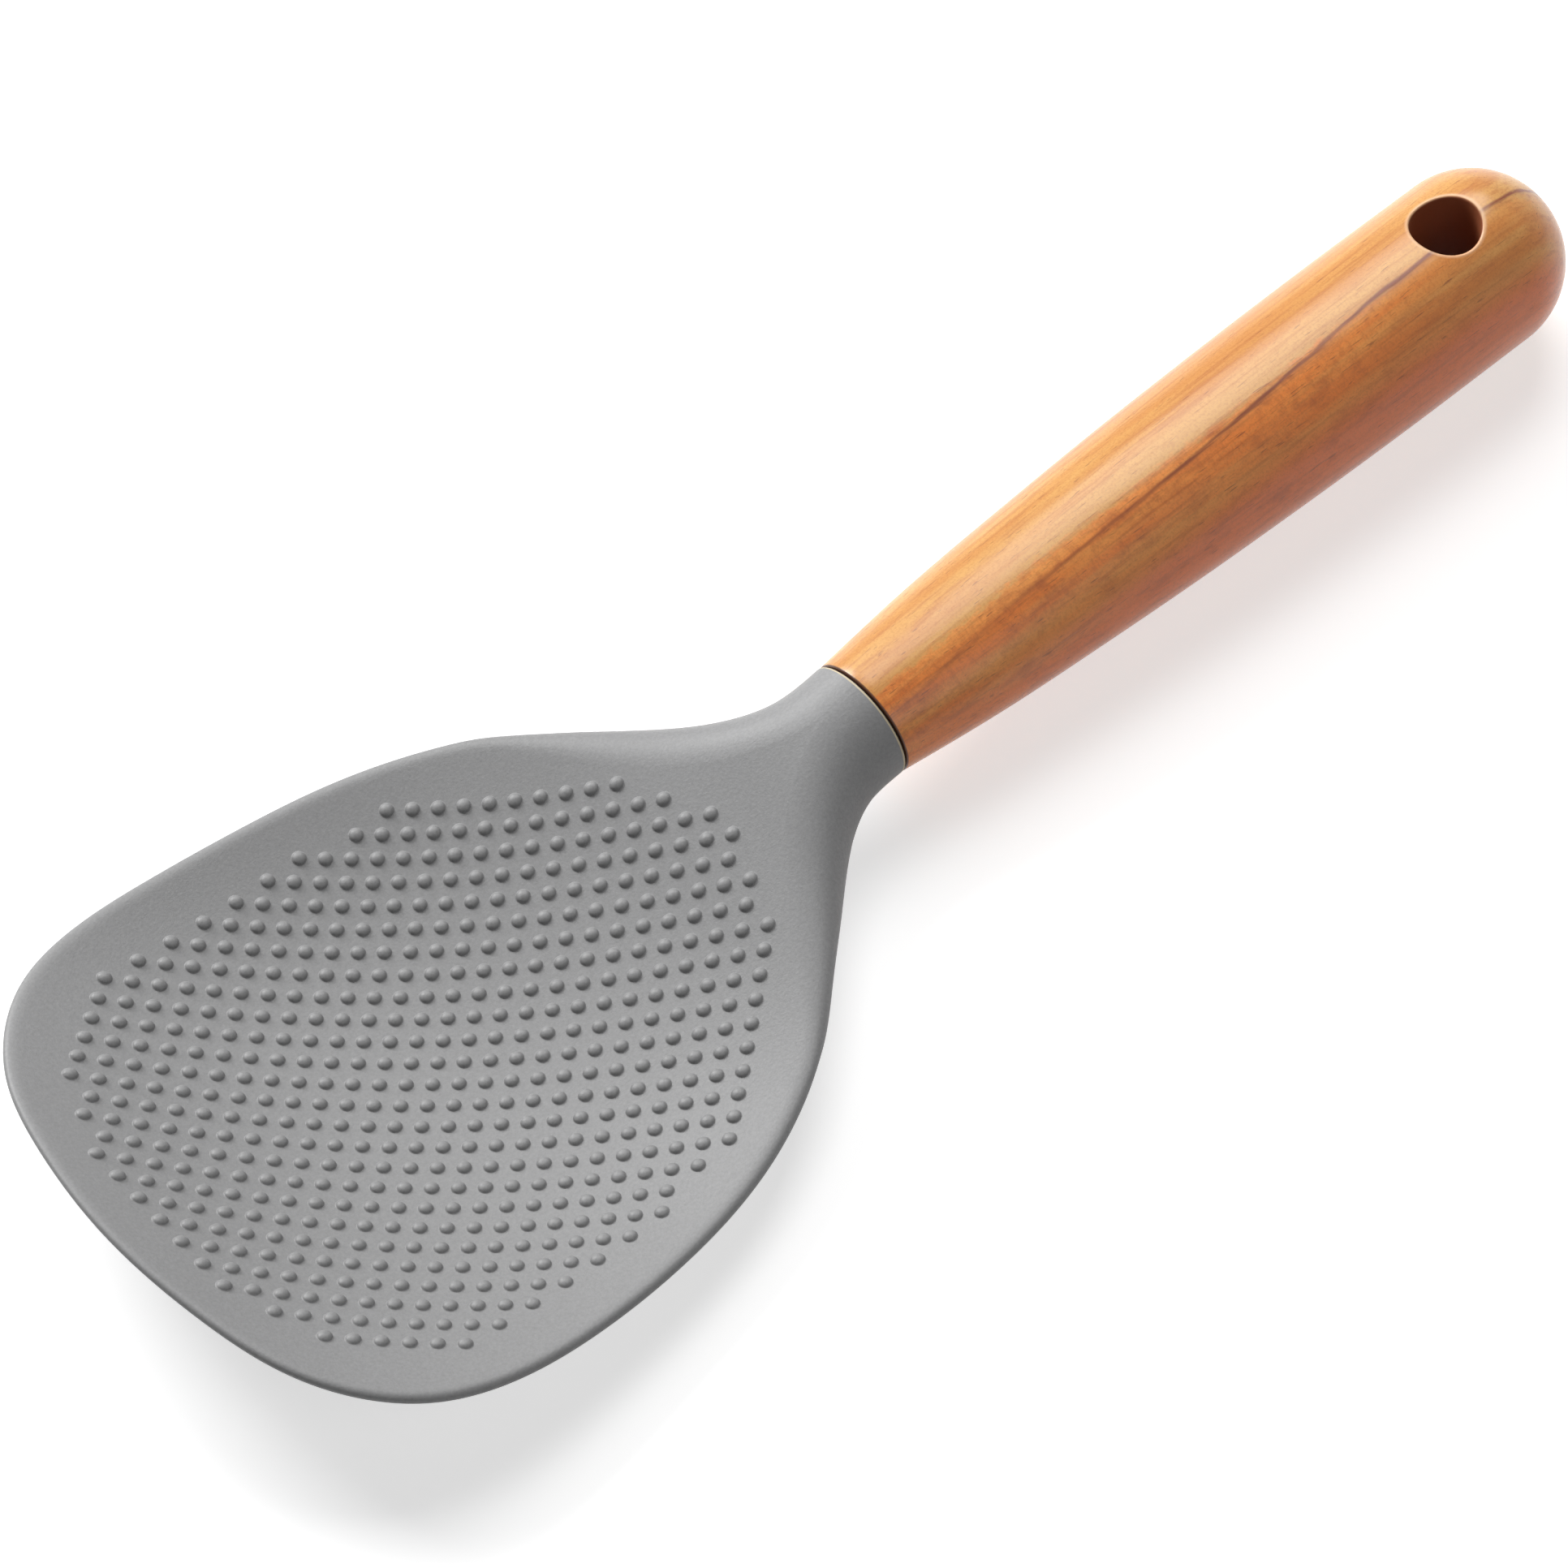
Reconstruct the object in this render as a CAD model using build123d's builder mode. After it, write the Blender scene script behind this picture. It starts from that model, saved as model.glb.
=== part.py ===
"""Rice paddle: a bumped silicone blade over a stiff core, on a turned wooden handle.

The paddle lies on a table as it does when it is put down: the underside of the blade and the
underside of the butt touch z = 0. +X runs from the blade to the butt, +Y across the blade and
+Z up out of the dish. The origin is on the table, under the middle of the whole length.
All lengths are in millimetres.
"""

import os
from math import asin, cos, pi, radians, sin, sqrt

from build123d import *

# Main lengths
front_reach = 49.5  # from the dish's reference line to the front edge
neck_reach = 68.1  # from the dish's reference line to the joint
handle_length = 119.5  # from the joint to the end of the butt
half_width = 43.8  # of the blade, at its widest line

# Blade
blade_thickness = 2.5
rim_round = 1.0  # rounding of the blade's upper and lower edges
dish_span = 50.0  # distance over which the rises below are given
dish_offset = 3.0  # the dish is lowest this far behind its reference line
rise_along = 14.8
rise_skew = 1.8
rise_across = 7.9
rise_twist = 0.7
rise_relief = 6.6
rise_kick = 1.4

# Bumps
bump_pitch_along = 2.5
bump_pitch_across = 2.06
bump_radius = 1.09  # radius of each dome
bump_height = 0.8  # how far a dome stands out of the blade
bump_front = -17  # first and last row of bumps, counted from the reference line
bump_rear = 18
bump_side = 17

# Neck and joint
joint_half_width = 8.5
joint_half_depth = 7.5
neck_length = 40.0
neck_tuck = 0.25  # how far the neck's front end lies inside the faces of the blade
neck_stand = 0.12  # how far the rest of the neck stands out of them
neck_wall = 1.0  # silicone around the core in the neck
lip_thickness = 0.25  # bare rim of the core between silicone and wood
joint_gap = 0.35  # glue line between the lip and the wood
joint_recess = 0.6  # how far the glue line stays back from the outside

# Core in the blade
core_thickness = 1.0
core_margin = 6.0  # from the rim of the blade to the rim of the core
core_fit = 0.05  # clearance between the core and the silicone around it
key_radius = 2.5
key_pitch = 16.0
key_count = 4

# Tang and its bore
tang_radius = 3.0
tang_in_core = 11.0
tang_in_handle = 50.0
tang_chamfer = 0.6
groove_depth = 0.4
groove_width = 1.5
groove_pitch = 4.0
groove_start = 8.0  # from the joint to the first groove in the handle
groove_count = 10
bore_radius = 3.25
bore_depth = 54.0

# Handle
handle_pitch = 0.36  # degrees, the butt end up
butt_radius = 12.45
arris_round = 0.4
hole_radius = 4.7
hole_inset = 17.6  # from the middle of the hanging hole to the end of the butt
hole_round = 0.4

overrun = 5.0  # how far cutting shapes pass the faces that they cut
surface_fit = 0.002  # how closely the dished faces follow their formula
grid_count = 24  # steps each way of the grid that they are laid through
curve_count = 4  # steps in each half of a curve across the neck

# Half outline of the blade from the neck to the tip: places along, as shares of the neck's reach
# and then of the front reach, and half widths as shares of the widest
rear_along_shares = (0.41, 0.22, 0.03)
rear_across_shares = (0.808, 0.925, 0.979)
front_along_shares = (0.242, 0.485, 0.667, 0.808, 0.901, 0.966, 1.0)
front_across_shares = (1.0, 0.982, 0.913, 0.781, 0.616, 0.365, 0.0)
plate_end_shares = (0.557, 0.635)  # place and half width of the blade's end inside the neck
core_end_shares = (0.62, 0.48)  # the same for the plate of the core

# Neck sections, evenly spaced from the start of the neck to the joint
neck_width_shares = (0.744, 0.637, 0.47, 0.297, 0.128, 0.02, 0.0)
neck_crown_shares = (0.0, 0.0, 0.0, 0.08, 0.2, 0.49, 1.0)
neck_keel_shares = (0.0, 0.075, 0.188, 0.355, 0.57, 0.74, 1.0)
neck_rim_shares = (1.82, 1.09, 0.72, 0.48, 0.43, 0.44, 0.5)
neck_cup_shares = (1.0, 1.0, 0.9, 0.6, 0.3, 0.1, 0.0)
neck_hull_shares = (1.0, 0.55, 0.1, 0.0, 0.0, 0.0, 0.0)
neck_top_roll_shares = (0.036, 0.12, 0.32, 0.55, 0.75, 0.9, 1.0)
neck_bottom_roll_shares = (0.036, 0.35, 0.8, 1.0, 1.0, 1.0, 1.0)
core_start = 2  # section at which the core's solid neck begins
flat_share = 0.4  # least share of a half width that the first half of a curve covers

# Handle sections, evenly spaced from the joint to the middle of the butt, as shares of its radius
grip_width_shares = (0.814, 0.889, 0.946, 0.983, 1.006, 1.01, 1.0)
grip_depth_shares = (0.702, 0.79, 0.862, 0.911, 0.945, 0.975, 1.0)

# Limits of the bump field: each is a slope and a most, and a bump that is m rows along and
# n rows across stands where |n| + slope * m is no more than that
field_limits = ((0.2, 17.5), (1, 23), (3, 55), (-1, 27), (-3, 57))

# Places worked out from the sizes
total_length = front_reach + neck_reach + handle_length
dish_x = front_reach - total_length / 2
joint_x = dish_x + neck_reach
butt_x = handle_length - butt_radius
joint_z = butt_radius - butt_x * sin(radians(handle_pitch))
bump_sink = bump_radius - bump_height


def steps(first, last, count):
    """Evenly spaced values from first to last, both included."""
    return [first + (last - first) * k / count for k in range(count + 1)]


def dish(x, y):
    """Height of the blade's upper face, x from the dish's reference line and y across."""
    along = (x - dish_offset) / dish_span
    across = (y / dish_span) ** 2
    lift = rise_along * along**2 - rise_skew * along**3
    spread = rise_across - rise_twist * along - rise_relief * along**2
    return blade_thickness + lift + spread * across + rise_kick * across**2


def joint_plane(distance):
    """Plane across the handle's axis, at a distance from the joint towards the butt."""
    pitch = radians(handle_pitch)
    axis = Vector(cos(pitch), 0, sin(pitch))
    return Plane(Vector(joint_x, 0, joint_z) + axis * distance, x_dir=(0, 1, 0), z_dir=axis)


def form_plate(depth, thickness, inset, end_shares):
    """Add a dished plate that lies depth under the blade's upper face and inset from its rim."""
    width = half_width - inset
    reach = front_reach - inset
    end_x = neck_reach * end_shares[0]
    side = half_width + overrun
    rows = [
        [(dish_x + x, y, dish(x, y) - depth) for y in steps(-side, side, grid_count)]
        for x in steps(-front_reach - overrun, end_x + overrun, grid_count)
    ]
    face = Face.make_surface_from_array_of_points(rows, surface_fit, min_deg=3, max_deg=6)
    extrude(face, amount=thickness, dir=(0, 0, -1))
    half = [(end_x, width * end_shares[1])]
    half += [(neck_reach * a, width * b) for a, b in zip(rear_along_shares, rear_across_shares)]
    half += [(-reach * a, width * b) for a, b in zip(front_along_shares, front_across_shares)]
    half = [(dish_x + x, y) for x, y in half]
    with BuildSketch(Plane.XY.offset(-overrun)) as plan:
        with BuildLine():
            rim = Spline(*half, *[(x, -y) for x, y in half[-2::-1]])
            Line(rim @ 0, rim @ 1)
        make_face()
    extrude(plan.sketch, amount=total_length, mode=Mode.INTERSECT)


def neck_levels(index, x):
    """Heights of crown, keel and rim of the neck's section number index, at x."""
    top = dish(x, 0)
    crown = top + (joint_z + joint_half_depth - dish(neck_reach, 0)) * neck_crown_shares[index]
    drop = dish(neck_reach, 0) - blade_thickness - joint_z + joint_half_depth
    keel = top - blade_thickness - drop * neck_keel_shares[index]
    if index == 0:
        crown, keel = crown - neck_tuck, keel + neck_tuck
    elif neck_crown_shares[index] < 1:
        crown += neck_stand
    return crown, keel, keel + (crown - keel) * neck_rim_shares[index]


def neck_curve(x, half, middle, rim, follow, roll):
    """Upper or lower curve of a neck section, which follows the dish and rolls to the rim."""
    flat = half * (1 - roll)
    turn = half - flat
    start = max(flat, half * flat_share)
    angles = steps(asin((start - flat) / turn), pi / 2, curve_count)
    curve = []
    for y in steps(0, start, curve_count)[:-1] + [flat + turn * sin(angle) for angle in angles]:
        share = sqrt(max(0, 1 - max(0, (y - flat) / turn) ** 2))
        height = middle + follow * (dish(x, y) - dish(x, 0))
        curve.append((y, rim + (height - rim) * share))
    return [(-y, z) for y, z in curve[:0:-1]] + curve


def form_neck(first, wall):
    """Add the neck from its section number first to the joint, a wall inside its outside."""
    last = len(neck_width_shares) - 1
    sections = []
    for index in range(first, last + 1):
        x = neck_reach - neck_length * (1 - index / last)
        half = joint_half_width + (half_width - joint_half_width) * neck_width_shares[index] - wall
        crown, keel, rim = neck_levels(index, x)
        cup, top_roll = neck_cup_shares[index], neck_top_roll_shares[index]
        hull, bottom_roll = neck_hull_shares[index], neck_bottom_roll_shares[index]
        with BuildSketch(Plane.YZ.offset(dish_x + x)) as section:
            with BuildLine():
                Spline(*neck_curve(x, half, crown - wall, rim, cup, top_roll))
                Spline(*neck_curve(x, half, keel + wall, rim, hull, bottom_roll))
            make_face()
        sections.append(section.sketch.faces()[0])
    loft(sections)


def form_core(grow):
    """Add the stiff core of blade and neck, grown on every side by a clearance."""
    depth = (blade_thickness - core_thickness) / 2 - grow
    form_plate(depth, core_thickness + 2 * grow, core_margin - grow, core_end_shares)
    with BuildSketch() as keys:
        with Locations((dish_x - key_pitch / 2, 0)):
            with GridLocations(key_pitch, key_pitch, key_count, key_count):
                Circle(key_radius - grow)
    extrude(keys.sketch, amount=total_length, mode=Mode.SUBTRACT)
    form_neck(core_start, neck_wall - grow)


# Tang: a steel rod, with ring grooves where it stands in the handle
with BuildPart() as tang:
    with BuildSketch(joint_plane(-tang_in_core)):
        Circle(tang_radius)
    extrude(amount=tang_in_core + tang_in_handle)
    chamfer(edges().filter_by(GeomType.CIRCLE), tang_chamfer)
    for index in range(groove_count):
        with BuildSketch(joint_plane(groove_start + groove_pitch * index)):
            Circle(tang_radius + overrun)
            Circle(tang_radius - groove_depth, mode=Mode.SUBTRACT)
        extrude(amount=groove_width, mode=Mode.SUBTRACT)

# Room for the core in the silicone
with BuildPart() as core_room:
    form_core(core_fit)

# Core: plate, neck and the thin lip that shows at the joint, moulded onto the tang
with BuildPart() as blade_core:
    form_core(0)
    split(bisect_by=joint_plane(-lip_thickness), keep=Keep.BOTTOM)
    with BuildSketch(joint_plane(-lip_thickness)):
        Ellipse(joint_half_width, joint_half_depth)
    extrude(amount=lip_thickness)
    add(tang.part, mode=Mode.SUBTRACT)

# Silicone head: blade, neck and bumps around the core
with BuildPart() as silicone_head:
    form_plate(0, blade_thickness, 0, plate_end_shares)
    fillet(edges().sort_by(SortBy.LENGTH)[-2:], rim_round)
    form_neck(0, 0)
    split(bisect_by=joint_plane(-lip_thickness), keep=Keep.BOTTOM)
    bumps = []
    for m in range(bump_front, bump_rear + 1):
        for n in range(-bump_side, bump_side + 1):
            inside = all(abs(n) + slope * m <= most for slope, most in field_limits)
            if (m + n) % 2 and inside:
                x, y = m * bump_pitch_along, n * bump_pitch_across
                bumps.append((dish_x + x, y, dish(x, y) - bump_sink))
    with Locations(*bumps):
        Sphere(bump_radius)
    add(core_room.part, mode=Mode.SUBTRACT)

# Wooden handle
with BuildPart() as wood_handle:
    with BuildSketch(joint_plane(joint_gap)):
        Ellipse(joint_half_width, joint_half_depth)
    for index, (wide, deep) in enumerate(zip(grip_width_shares, grip_depth_shares), 1):
        with BuildSketch(joint_plane(butt_x * index / len(grip_width_shares))):
            Ellipse(butt_radius * wide, butt_radius * deep)
    loft()
    with Locations(joint_plane(butt_x)):
        Sphere(butt_radius, arc_size1=0, align=(Align.CENTER, Align.CENTER, Align.MIN))
    fillet(faces().sort_by(Axis.X)[0].edges(), arris_round)
    across = joint_plane(handle_length - hole_inset)
    upright = Plane(across.origin, x_dir=(0, 1, 0), z_dir=across.y_dir)
    with BuildSketch(upright.offset(-butt_radius)):
        Circle(hole_radius)
    extrude(amount=2 * butt_radius, mode=Mode.SUBTRACT)
    wall = faces().filter_by(GeomType.CYLINDER)
    fillet(wall.edges().filter_by(GeomType.LINE, reverse=True), hole_round)
    with BuildSketch(joint_plane(0)):
        Circle(bore_radius)
    extrude(amount=bore_depth, mode=Mode.SUBTRACT)

# Cured glue: around the tang in the bore, and as a thin disc in the joint
with BuildPart() as glue_sleeve:
    with BuildSketch(joint_plane(0)):
        Ellipse(joint_half_width - joint_recess, joint_half_depth - joint_recess)
    extrude(amount=joint_gap)
    with BuildSketch(joint_plane(0)):
        Circle(bore_radius)
    extrude(amount=bore_depth)
    add(tang.part, mode=Mode.SUBTRACT)

silicone_head.part.label = "silicone_head"
blade_core.part.label = "blade_core"
tang.part.label = "tang"
glue_sleeve.part.label = "glue_sleeve"
wood_handle.part.label = "wood_handle"

os.makedirs("parts", exist_ok=True)
export_step(silicone_head.part, "parts/silicone_head.step")
export_step(blade_core.part, "parts/blade_core.step")
export_step(tang.part, "parts/tang.step")
export_step(glue_sleeve.part, "parts/glue_sleeve.step")
export_step(wood_handle.part, "parts/wood_handle.step")
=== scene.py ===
"""Rice paddle: grey silicone blade with bumps, and a lacquered wooden handle.

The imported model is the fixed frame. The silicone head and the wooden handle are made here as fine
meshes from the same sizes as the solids, apart from the bumps, which are softer and a little lower.
The rim of the core, the glue line and the tang are the solids themselves. Sizes are in millimetres
and become metres when a mesh is made. Finishes, lamps and the camera are in metres.
"""

from __future__ import annotations

import logging
import math
from collections.abc import Sequence
from dataclasses import dataclass, field
from enum import Enum

import bpy
import numpy as np
from mathutils import Matrix, Vector


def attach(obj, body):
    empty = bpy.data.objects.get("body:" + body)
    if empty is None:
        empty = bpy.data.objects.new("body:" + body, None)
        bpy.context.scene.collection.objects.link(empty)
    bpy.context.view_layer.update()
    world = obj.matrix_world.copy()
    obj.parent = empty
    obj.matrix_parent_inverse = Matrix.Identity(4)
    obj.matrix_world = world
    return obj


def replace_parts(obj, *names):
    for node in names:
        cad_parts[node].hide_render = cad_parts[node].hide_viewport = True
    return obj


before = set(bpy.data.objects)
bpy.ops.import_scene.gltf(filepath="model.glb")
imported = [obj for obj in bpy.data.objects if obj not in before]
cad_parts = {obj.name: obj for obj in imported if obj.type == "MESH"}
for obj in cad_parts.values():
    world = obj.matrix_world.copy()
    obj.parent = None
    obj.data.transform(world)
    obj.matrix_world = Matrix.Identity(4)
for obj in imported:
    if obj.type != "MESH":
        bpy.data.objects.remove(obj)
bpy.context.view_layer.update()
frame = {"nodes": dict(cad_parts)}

MM = 0.001
WELD = 1e-4  # grid that places are rounded to before they are compared, in millimetres
SHARP = math.radians(50)  # smallest angle between faces that shows as an edge
TINY = 1e-6  # keeps a division away from zero
LOG = logging.getLogger("rice_paddle")
Array = np.ndarray
Pair = tuple[float, float]
Row = tuple[float, ...]
Colour = tuple[float, float, float]
Place = tuple[float, float, float]


# Curves and meshes


class SmoothCurve:
    """A cubic spline through values, with even curvature from one piece to the next."""

    def __init__(self, places: Sequence[float], values: Array, level_end: bool = False) -> None:
        """Work out the slope at each place.

        Args:
            places: increasing places along the curve.
            values: one row of values for each place.
            level_end: whether the curve ends with a slope of zero.
        """
        self.places = np.asarray(places, float)
        self.values = np.asarray(values, float).reshape(len(self.places), -1)
        steps = np.diff(self.places)
        rises = np.diff(self.values, axis=0) / steps[:, None]
        count = len(self.places)
        matrix = np.zeros((count, count))
        right = np.zeros_like(self.values)
        matrix[0, :2] = 2, 1
        right[0] = 3 * rises[0]
        for k in range(1, count - 1):
            matrix[k, k - 1] = steps[k]
            matrix[k, k] = 2 * (steps[k - 1] + steps[k])
            matrix[k, k + 1] = steps[k - 1]
            right[k] = 3 * (steps[k] * rises[k - 1] + steps[k - 1] * rises[k])
        if level_end:
            matrix[-1, -1] = 1
        else:
            matrix[-1, -2:] = 1, 2
            right[-1] = 3 * rises[-1]
        self.slopes = np.linalg.solve(matrix, right)

    def at(self, places: Array) -> Array:
        """Values at the places, one row each.

        Args:
            places: where to read the curve.

        Returns:
            The values, or a flat array where the curve has one value at a place.
        """
        t = np.clip(np.asarray(places, float), self.places[0], self.places[-1])
        k = np.clip(np.searchsorted(self.places, t) - 1, 0, len(self.places) - 2)
        step = (self.places[k + 1] - self.places[k])[:, None]
        s = (t - self.places[k])[:, None] / step
        first, last = self.values[k], self.values[k + 1]
        out = (
            first * (1 + 2 * s) * (1 - s) ** 2
            + last * s**2 * (3 - 2 * s)
            + step * self.slopes[k] * s * (1 - s) ** 2
            + step * self.slopes[k + 1] * s**2 * (s - 1)
        )
        return out[:, 0] if out.shape[1] == 1 else out


def ease(value: Array, low: float, high: float) -> Array:
    """Share from 0 to 1 that eases in and out as value goes from low to high."""
    t = np.clip((value - low) / (high - low), 0, 1)
    return t * t * (3 - 2 * t)


@dataclass
class MeshMaker:
    """Collects vertices and faces, and makes one welded mesh object of them."""

    points: list[Array] = field(default_factory=list)
    faces: list[tuple[int, ...]] = field(default_factory=list)
    count: int = 0

    def add(self, points: Array) -> int:
        """Add points and return the number of the first.

        Args:
            points: one row of x, y, z for each point, in millimetres.

        Returns:
            The number of the first point.
        """
        first = self.count
        self.points.append(np.asarray(points, float).reshape(-1, 3))
        self.count += len(self.points[-1])
        return first

    def grid(self, points: Array, closed: bool = False, flip: bool = False) -> None:
        """Add a grid of points with four-sided faces.

        Args:
            points: rows and columns of x, y, z.
            closed: whether the last column joins the first.
            flip: whether the faces look the other way.
        """
        rows, columns = points.shape[:2]
        first = self.add(points)
        for r in range(rows - 1):
            for c in range(columns if closed else columns - 1):
                d = (c + 1) % columns
                a, b = first + r * columns, first + (r + 1) * columns
                face = (a + c, a + d, b + d, b + c)
                self.faces.append(face[::-1] if flip else face)

    def build(self, name: str) -> bpy.types.Object:
        """Weld points that lie together and make the object.

        Args:
            name: the piece's name.

        Returns:
            The new object, in the row frame.
        """
        points = np.concatenate(self.points)
        keys = np.round(points / WELD).astype(np.int64)
        _, index, inverse = np.unique(keys, axis=0, return_index=True, return_inverse=True)
        inverse = inverse.ravel()
        faces = []
        for face in self.faces:
            ring = [int(inverse[v]) for v in face]
            ring = [v for k, v in enumerate(ring) if v != ring[k - 1]]
            if len(set(ring)) > 2:
                faces.append(ring)
        mesh = bpy.data.meshes.new(name)
        mesh.from_pydata((points[index] * MM).tolist(), [], faces)
        mesh.validate()
        mesh.polygons.foreach_set("use_smooth", [True] * len(mesh.polygons))
        mesh.set_sharp_from_angle(angle=SHARP)
        mesh.update()
        piece = bpy.data.objects.new(name, mesh)
        bpy.context.scene.collection.objects.link(piece)
        return piece


# Shader maths


class Wire:
    """A value that changes over a surface, with the operators that add Math nodes."""

    def __init__(self, graph: Graph, socket: bpy.types.NodeSocket) -> None:
        """Wrap an output socket of a graph."""
        self.graph = graph
        self.socket = socket

    def maths(self, operation: str, *values: Value) -> Wire:
        """Wire of a Math node with this operation on the values."""
        return self.graph.node("ShaderNodeMath", {"operation": operation}, dict(enumerate(values)))

    def __add__(self, other: Value) -> Wire:
        """Sum."""
        return self.maths("ADD", self, other)

    def __sub__(self, other: Value) -> Wire:
        """Difference."""
        return self.maths("SUBTRACT", self, other)

    def __rsub__(self, other: Value) -> Wire:
        """Difference from a number."""
        return self.maths("SUBTRACT", other, self)

    def __mul__(self, other: Value) -> Wire:
        """Product."""
        return self.maths("MULTIPLY", self, other)

    def __pow__(self, other: Value) -> Wire:
        """Power."""
        return self.maths("POWER", self, other)

    def __abs__(self) -> Wire:
        """Size without sign."""
        return self.maths("ABSOLUTE", self)

    __radd__ = __add__
    __rmul__ = __mul__

    def ramp(self, low: float, high: float) -> Wire:
        """Share that eases in from one value to another.

        Args:
            low: value with a share of 0; one above high turns the ramp round.
            high: value with a share of 1.

        Returns:
            The share.
        """
        if low > high:
            return 1 - self.ramp(high, low)
        settings = {"interpolation_type": "SMOOTHSTEP"}
        return self.graph.node("ShaderNodeMapRange", settings, {0: self, 1: low, 2: high})


Value = float | Wire


class Graph:
    """The nodes of one material, or of the world."""

    def __init__(self, owner: bpy.types.Material | bpy.types.World) -> None:
        """Start with no nodes.

        Args:
            owner: the material or world that they belong to.
        """
        self.owner = owner
        owner.use_nodes = True
        self.tree = owner.node_tree
        self.tree.nodes.clear()

    @classmethod
    def surface(cls, name: str) -> Graph:
        """A graph in a new material with this name."""
        return cls(bpy.data.materials.new(name))

    def node(
        self,
        kind: str,
        settings: dict[str, object] | None = None,
        sockets: dict[int | str, object] | None = None,
        out: int | str = 0,
    ) -> Wire:
        """Add a node, with its settings first and then its sockets.

        Args:
            kind: Blender's type of node.
            settings: the node's own settings, such as a Math node's operation.
            sockets: values or wires for its input sockets, by number or name.
            out: the output socket to return.

        Returns:
            The chosen output.
        """
        made = self.tree.nodes.new(kind)
        for name, value in (settings or {}).items():
            setattr(made, name, value)
        for name, value in (sockets or {}).items():
            if isinstance(value, Wire):
                self.tree.links.new(value.socket, made.inputs[name])
            elif isinstance(value, tuple) and len(made.inputs[name].default_value) == 4:
                made.inputs[name].default_value = (*value, 1)
            else:
                made.inputs[name].default_value = value
        return Wire(self, made.outputs[out])

    def place(self) -> Wire:
        """Place on the object, in metres in the row frame."""
        return self.node("ShaderNodeTexCoord", out="Object")

    def scaled(self, place: Wire, scale: Place, shift: Place) -> Wire:
        """Place moved and then scaled along each axis."""
        moved = self.node("ShaderNodeVectorMath", {"operation": "ADD"}, {0: place, 1: shift})
        return self.node("ShaderNodeVectorMath", {"operation": "MULTIPLY"}, {0: moved, 1: scale})

    def axes(self, place: Wire) -> tuple[Wire, Wire, Wire]:
        """The place's three coordinates as wires."""
        split = self.node("ShaderNodeSeparateXYZ", None, {0: place})
        return tuple(Wire(self, socket) for socket in split.socket.node.outputs)

    def noise(self, place: Wire, scale: float, detail: float = 2, rough: float = 0.5) -> Wire:
        """Noise from about 0 to 1 with that many features in a metre."""
        sockets = {"Vector": place, "Scale": scale, "Detail": detail, "Roughness": rough}
        return self.node("ShaderNodeTexNoise", None, sockets, "Fac")

    def mix(self, share: Value, first: Wire | Colour, second: Wire | Colour) -> Wire:
        """Colour from first to second as share goes from 0 to 1."""
        sockets = {0: share, 6: first, 7: second}
        return self.node("ShaderNodeMix", {"data_type": "RGBA"}, sockets, 2)

    def bump(self, height: Wire, distance: float, strength: float) -> Wire:
        """Normal of a height that stands out by up to a distance in metres."""
        sockets = {"Strength": strength, "Distance": distance, "Height": height}
        return self.node("ShaderNodeBump", None, sockets, "Normal")

    def seen(self) -> Wire:
        """Mask of the rays that show the background.

        Returns:
            1 for the camera's own rays and what they see by reflection or through glass.
        """
        rays = ("Is Camera Ray", "Is Glossy Ray", "Is Transmission Ray")
        camera, glossy, through = (
            self.node("ShaderNodeLightPath", None, None, name) for name in rays
        )
        return camera + glossy + through

    def finish(self, **sockets: object) -> bpy.types.Material:
        """Close the graph with a Principled shader.

        Args:
            sockets: its sockets by name, with an underscore for each space.

        Returns:
            The material.
        """
        named = {name.replace("_", " "): value for name, value in sockets.items()}
        return self.close(self.node("ShaderNodeBsdfPrincipled", None, named))

    def close(self, shader: Wire) -> bpy.types.Material | bpy.types.World:
        """Send a shader to the owner's output.

        Args:
            shader: the shader to show.

        Returns:
            The material or world that owns the nodes.
        """
        world = isinstance(self.owner, bpy.types.World)
        end = self.tree.nodes.new("ShaderNodeOutputWorld" if world else "ShaderNodeOutputMaterial")
        self.tree.links.new(shader.socket, end.inputs["Surface"])
        return self.owner


# Finishes


@dataclass(frozen=True)
class SiliconeFinish:
    """Matt moulded silicone: neutral grey, with a fine speckle and a soft sheen."""

    colour: Colour = (0.247, 0.247, 0.249)
    speckle: float = 0.24
    speckle_scale: float = 2100
    cloud: float = 0.05
    cloud_scale: float = 60
    roughness: float = 0.5
    cloud_roughness: float = 0.08
    specular: float = 0.5
    grain_scale: float = 2900
    grain_height: float = 0.00006
    grain_strength: float = 0.6
    detail: float = 3
    rough: float = 0.65

    def material(self) -> bpy.types.Material:
        """Make the finish as a material.

        Returns:
            The material.
        """
        graph = Graph.surface("silicone")
        place = graph.place()
        fine = graph.noise(place, self.speckle_scale, self.detail, self.rough)
        cloud = graph.noise(place, self.cloud_scale)
        tone = 0.5 + (fine - 0.5) * (2 * self.speckle) + (cloud - 0.5) * self.cloud
        # The tone goes from half the colour at 0 to one and a half times the colour at 1.
        dark = tuple(0.5 * c for c in self.colour)
        light = tuple(1.5 * c for c in self.colour)
        grain = graph.noise(place, self.grain_scale, self.detail, self.rough)
        return graph.finish(
            Base_Color=graph.mix(tone, dark, light),
            Roughness=self.roughness + (cloud - 0.5) * self.cloud_roughness,
            Specular_IOR_Level=self.specular,
            Normal=graph.bump(grain, self.grain_height, self.grain_strength),
        )


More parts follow.
